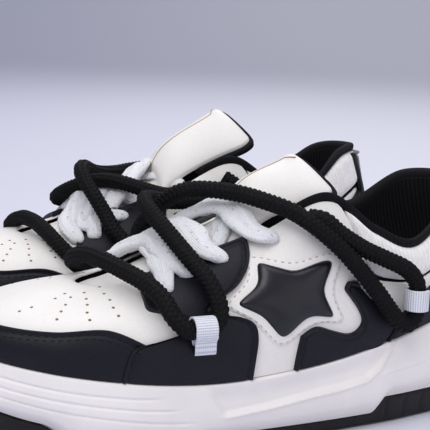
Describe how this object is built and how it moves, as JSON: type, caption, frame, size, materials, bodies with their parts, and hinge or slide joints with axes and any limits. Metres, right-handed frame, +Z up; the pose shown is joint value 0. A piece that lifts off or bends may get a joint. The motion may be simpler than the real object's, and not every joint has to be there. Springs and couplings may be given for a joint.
{
  "type": "pair of trainers with rope laces",
  "caption": "A pair of low trainers on thick foam soles, with star pads, a wide padded tongue, flat laces and a heavy rope lace run through webbing loops.",
  "frame": {"origin": "on the ground, in the middle of the pair's footprint, between the two shoes", "axes": "+Z up; toes towards -Y and heels towards +Y; the left shoe is at +X and the right shoe at -X"},
  "size_m": [0.2394, 0.2782, 0.132],
  "materials": {
    "black_rubber": "moulded rubber, satin, with fine vertical slits at the heel",
    "white_foam": "moulded foam with a satin skin",
    "board": "pressed fibre board, matte",
    "white_leather": "smooth coated leather with a fine grain",
    "perforated_leather": "smooth coated leather, perforated in rows",
    "black_leather": "coated leather with a fine grain and white stitching",
    "patent_black": "glossy film over padding",
    "black_knit": "ribbed knit, matte",
    "ribbed_cloth": "padded cloth with narrow upright ribs",
    "cotton_lace": "flat woven cotton",
    "knitted_rope": "thick knitted cord with a chevron of stitches",
    "webbing": "ribbed grosgrain webbing"
  },
  "bodies": {
    "left_shoe": {"left_outsole": "black_rubber", "left_midsole": "white_foam", "left_lasting_board": "board", "left_lining": "black_knit", "left_vamp": "perforated_leather", "left_quarter_outer": "white_leather", "left_quarter_inner": "white_leather", "left_toe_rand": "black_leather", "left_side_panel_outer": "black_leather", "left_side_panel_inner": "black_leather", "left_wing_outer": "black_leather", "left_wing_inner": "black_leather", "left_heel_counter": "black_leather", "left_heel_strip": "patent_black", "left_ribbed_collar": "ribbed_cloth", "left_collar_binding": "black_knit", "left_star_outer": "patent_black", "left_star_inner": "patent_black", "left_tongue_lower": "white_leather", "left_flat_lace": "cotton_lace", "left_rope_lace": "knitted_rope", "left_loop_front_outer": "webbing", "left_loop_rear_outer": "webbing", "left_loop_front_inner": "webbing", "left_loop_rear_inner": "webbing"},
    "left_tongue": {"left_tongue_top": "white_leather", "left_tongue_lining": "black_knit"},
    "left_insole": {"left_insole": "black_knit"},
    "right_shoe": {"right_outsole": "black_rubber", "right_midsole": "white_foam", "right_lasting_board": "board", "right_lining": "black_knit", "right_vamp": "perforated_leather", "right_quarter_outer": "white_leather", "right_quarter_inner": "white_leather", "right_toe_rand": "black_leather", "right_side_panel_outer": "black_leather", "right_side_panel_inner": "black_leather", "right_wing_outer": "black_leather", "right_wing_inner": "black_leather", "right_heel_counter": "black_leather", "right_heel_strip": "patent_black", "right_ribbed_collar": "ribbed_cloth", "right_collar_binding": "black_knit", "right_star_outer": "patent_black", "right_star_inner": "patent_black", "right_tongue_lower": "white_leather", "right_flat_lace": "cotton_lace", "right_rope_lace": "knitted_rope", "right_loop_front_outer": "webbing", "right_loop_rear_outer": "webbing", "right_loop_front_inner": "webbing", "right_loop_rear_inner": "webbing"},
    "right_tongue": {"right_tongue_top": "white_leather", "right_tongue_lining": "black_knit"},
    "right_insole": {"right_insole": "black_knit"}
  },
  "joints": [
    {"name": "right_shoe_lift", "type": "slide", "parent": "left_shoe", "child": "right_shoe", "axis": [0, 0, 1], "range_m": [0, 0.2]},
    {"name": "left_tongue_bend", "type": "hinge", "parent": "left_shoe", "child": "left_tongue", "pos_m": [0.059, 0.024, 0.1071], "axis": [1, 0, 0], "range_deg": [-4, 30]},
    {"name": "left_insole_lift", "type": "hinge", "parent": "left_shoe", "child": "left_insole", "pos_m": [0.059, -0.1252, 0.0295], "axis": [1, 0, 0], "range_deg": [0, 8]},
    {"name": "right_tongue_bend", "type": "hinge", "parent": "right_shoe", "child": "right_tongue", "pos_m": [-0.059, 0.024, 0.1071], "axis": [1, 0, 0], "range_deg": [-4, 30]},
    {"name": "right_insole_lift", "type": "hinge", "parent": "right_shoe", "child": "right_insole", "pos_m": [-0.059, -0.1252, 0.0295], "axis": [1, 0, 0], "range_deg": [0, 8]}
  ]
}
